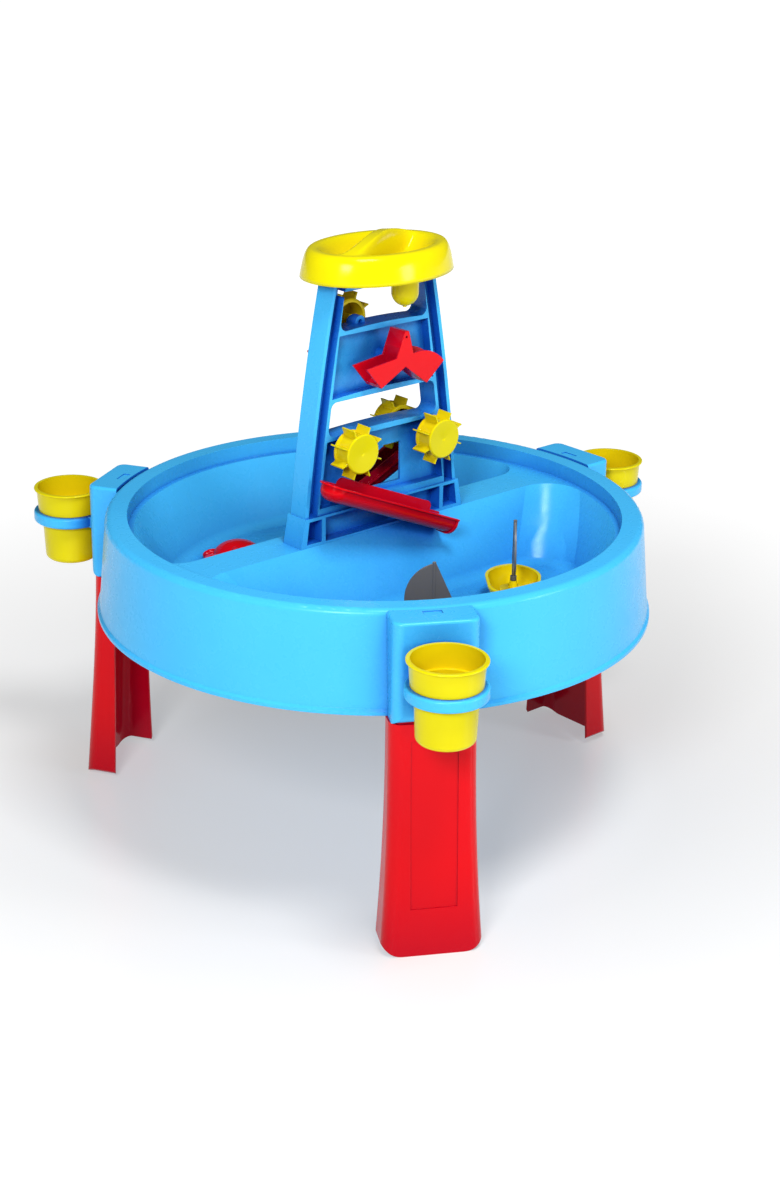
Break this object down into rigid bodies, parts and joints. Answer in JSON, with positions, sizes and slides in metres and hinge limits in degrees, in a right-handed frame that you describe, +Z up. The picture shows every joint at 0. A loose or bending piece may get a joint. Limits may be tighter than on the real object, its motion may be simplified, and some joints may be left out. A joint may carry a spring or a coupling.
{
  "type": "sand and water table",
  "caption": "Round divided play basin on three channel legs, with cup holders, cups and a tower of water wheels, tipping troughs and chutes under a two-bowl hopper.",
  "frame": {"origin": "on the floor, at the middle of the whole table's box, cups included", "axes": "+Z up; X runs along the basin's divider, with one leg at the +X end; the side of the tower with the closed spout faces -Y"},
  "size_m": [0.8058, 0.8152, 0.749],
  "materials": {
    "blue_plastic": "satin moulded",
    "red_plastic": "glossy moulded",
    "yellow_plastic": "glossy moulded",
    "grey_plastic": "satin moulded"
  },
  "bodies": {
    "table": {"basin": "blue_plastic", "leg_right": "red_plastic", "leg_front": "red_plastic", "leg_left": "red_plastic", "bracket_right": "blue_plastic", "bracket_front": "blue_plastic", "bracket_left": "blue_plastic", "tower_frame": "blue_plastic", "hopper": "yellow_plastic", "spout_front": "yellow_plastic", "spout_rear": "yellow_plastic", "chute_front": "red_plastic", "chute_rear": "red_plastic", "wheel_axle_front_left": "blue_plastic", "wheel_axle_front_right": "blue_plastic", "wheel_axle_rear_middle": "blue_plastic", "wheel_axle_rear_top": "blue_plastic", "rocker_axle_front": "blue_plastic", "rocker_axle_rear": "blue_plastic"},
    "cup_right": {"cup_right": "yellow_plastic"},
    "cup_front": {"cup_front": "yellow_plastic"},
    "cup_left": {"cup_left": "yellow_plastic"},
    "wheel_front_left": {"wheel_front_left": "yellow_plastic"},
    "wheel_front_right": {"wheel_front_right": "yellow_plastic"},
    "wheel_rear_middle": {"wheel_rear_middle": "yellow_plastic"},
    "wheel_rear_top": {"wheel_rear_top": "yellow_plastic"},
    "rocker_front": {"rocker_front": "red_plastic"},
    "rocker_rear": {"rocker_rear": "red_plastic"},
    "boat_near": {"boat_hull_near": "yellow_plastic", "mast_socket_near": "yellow_plastic"},
    "sail_near": {"boat_sail_near": "grey_plastic"},
    "boat_far": {"boat_hull_far": "yellow_plastic", "mast_socket_far": "yellow_plastic"},
    "sail_far": {"boat_sail_far": "grey_plastic"},
    "crab": {"crab_mould": "red_plastic"}
  },
  "joints": [
    {"name": "cup_right_lift", "type": "slide", "parent": "table", "child": "cup_right", "axis": [0, 0, 1], "range_m": [0, 0.12]},
    {"name": "cup_front_lift", "type": "slide", "parent": "table", "child": "cup_front", "axis": [0, 0, 1], "range_m": [0, 0.12]},
    {"name": "cup_left_lift", "type": "slide", "parent": "table", "child": "cup_left", "axis": [0, 0, 1], "range_m": [0, 0.12]},
    {"name": "wheel_front_left_spin", "type": "hinge", "parent": "table", "child": "wheel_front_left", "pos_m": [-0.11755, -0.031, 0.497], "axis": [0, 1, 0], "continuous": true},
    {"name": "wheel_front_right_spin", "type": "hinge", "parent": "table", "child": "wheel_front_right", "pos_m": [0.01245, -0.031, 0.49], "axis": [0, 1, 0], "continuous": true},
    {"name": "wheel_rear_middle_spin", "type": "hinge", "parent": "table", "child": "wheel_rear_middle", "pos_m": [-0.00355, 0.031, 0.497], "axis": [0, 1, 0], "continuous": true},
    {"name": "wheel_rear_top_spin", "type": "hinge", "parent": "table", "child": "wheel_rear_top", "pos_m": [-0.08655, 0.031, 0.644], "axis": [0, 1, 0], "continuous": true},
    {"name": "rocker_front_tilt", "type": "hinge", "parent": "table", "child": "rocker_front", "pos_m": [-0.05655, -0.0335, 0.601], "axis": [0, 1, 0], "range_deg": [-24.4, 15.6]},
    {"name": "rocker_rear_tilt", "type": "hinge", "parent": "table", "child": "rocker_rear", "pos_m": [-0.06755, 0.0335, 0.593], "axis": [0, 1, 0], "range_deg": [-33.5, 1.5]},
    {"name": "boat_near_lift", "type": "slide", "parent": "table", "child": "boat_near", "axis": [0, 0, 1], "range_m": [0, 0.15]},
    {"name": "sail_near_pull", "type": "slide", "parent": "boat_near", "child": "sail_near", "axis": [0, 0, 1], "range_m": [0, 0.03]},
    {"name": "boat_far_lift", "type": "slide", "parent": "table", "child": "boat_far", "axis": [0, 0, 1], "range_m": [0, 0.15]},
    {"name": "sail_far_pull", "type": "slide", "parent": "boat_far", "child": "sail_far", "axis": [0, 0, 1], "range_m": [0, 0.03]},
    {"name": "crab_lift", "type": "slide", "parent": "table", "child": "crab", "axis": [0, 0, 1], "range_m": [0, 0.15]}
  ]
}
